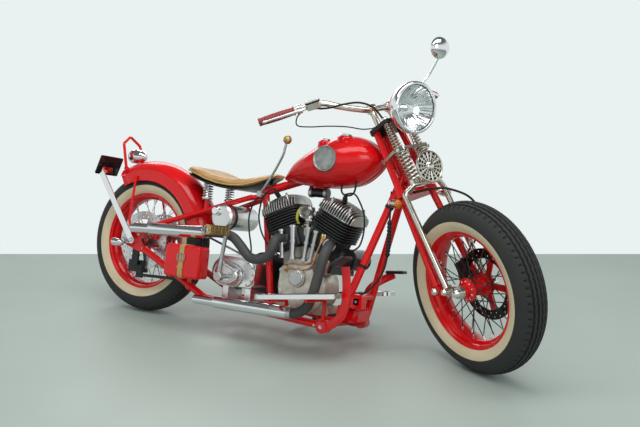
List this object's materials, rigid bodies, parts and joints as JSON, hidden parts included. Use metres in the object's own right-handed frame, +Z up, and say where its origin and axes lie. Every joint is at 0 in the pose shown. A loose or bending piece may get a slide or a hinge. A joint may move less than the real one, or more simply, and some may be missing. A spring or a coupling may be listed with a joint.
{
  "type": "motorcycle",
  "caption": "Red V-twin bobber motorcycle with springer fork, whitewall tyres and tan sprung seat, on its side stand",
  "frame": {"origin": "on the ground, at the middle of the whole machine's footprint", "axes": "X forward along the machine, Y to its left, Z up"},
  "size_m": [2.295, 0.9656, 1.2887],
  "materials": {
    "red_paint": "high gloss",
    "black_metal": "satin",
    "exhaust_grey": "matt, heat proof",
    "chrome": "polished",
    "steel": "brushed",
    "cast_aluminium": "cast, satin",
    "drum_aluminium": "brushed",
    "pewter": "dull",
    "brass": "worn",
    "tyre_rubber": "matt tread with a cream sidewall band",
    "grip_rubber": "dull",
    "tan_leather": "semi-gloss, stitched",
    "lamp_glass": "clear",
    "red_lens": "clear red"
  },
  "bodies": {
    "front_wheel": {"front_tyre": "tyre_rubber", "front_wire_wheel": "red_paint", "front_disc": "black_metal"},
    "rear_wheel": {"rear_tyre": "tyre_rubber", "rear_wire_wheel": "red_paint", "rear_disc": "steel", "rear_sprocket": "steel"},
    "chassis": {"frame_backbone": "red_paint", "frame_seat_tube": "red_paint", "frame_cradle": "red_paint", "frame_axle_plates": "red_paint", "frame_crossmembers": "red_paint", "rear_axle": "steel", "rear_fender": "red_paint", "fender_stays": "chrome", "rear_lamps": "chrome", "tail_lens": "red_lens", "plate_bracket": "black_metal", "rear_brake": "black_metal", "seat_cover": "tan_leather", "seat_pan": "black_metal", "seat_springs": "chrome", "fuel_tanks": "red_paint", "tank_trim": "pewter", "crankcase": "cast_aluminium", "timing_cover": "cast_aluminium", "cylinders": "black_metal", "cylinder_heads": "cast_aluminium", "carburettor": "cast_aluminium", "electrics": "black_metal", "exhaust_pipes": "exhaust_grey", "mufflers": "chrome", "primary_cover": "black_metal", "gearbox": "black_metal", "levers": "brass", "drive_chain": "steel", "oil_tank": "drum_aluminium", "toolbox": "red_paint", "floorboards": "chrome", "foot_pedals": "black_metal"},
    "fork": {"fork_legs": "red_paint", "fork_top_tree": "black_metal", "fork_spring_legs": "chrome", "fork_spring_perch": "chrome", "fork_springs": "chrome", "fork_rockers": "chrome", "front_axle": "steel", "handlebar": "chrome", "grips": "grip_rubber", "bar_controls": "chrome", "headlamp_shell": "red_paint", "headlamp_rim": "chrome", "headlamp_lens": "lamp_glass", "horn": "chrome", "front_brake": "black_metal", "front_indicators": "chrome"},
    "side_stand": {"side_stand": "black_metal"}
  },
  "joints": [
    {"name": "steering", "type": "hinge", "parent": "chassis", "child": "fork", "pos_m": [0.44467, -0.05151, 0.78041], "axis": [-0.5307, 0.1835, 0.8275], "range_deg": [0, 66]},
    {"name": "front_wheel_spin", "type": "hinge", "parent": "fork", "child": "front_wheel", "pos_m": [0.84301, -0.20913, 0.33363], "axis": [0.4616, 0.8813, 0.1006], "continuous": true},
    {"name": "rear_wheel_spin", "type": "hinge", "parent": "chassis", "child": "rear_wheel", "pos_m": [-0.81263, -0.15167, 0.32862], "axis": [0, 0.9763, -0.2164], "continuous": true},
    {"name": "side_stand_fold", "type": "hinge", "parent": "chassis", "child": "side_stand", "pos_m": [-0.05243, -0.04025, 0.06426], "axis": [0.0251, 0.4622, 0.8864], "range_deg": [0, 100]}
  ]
}
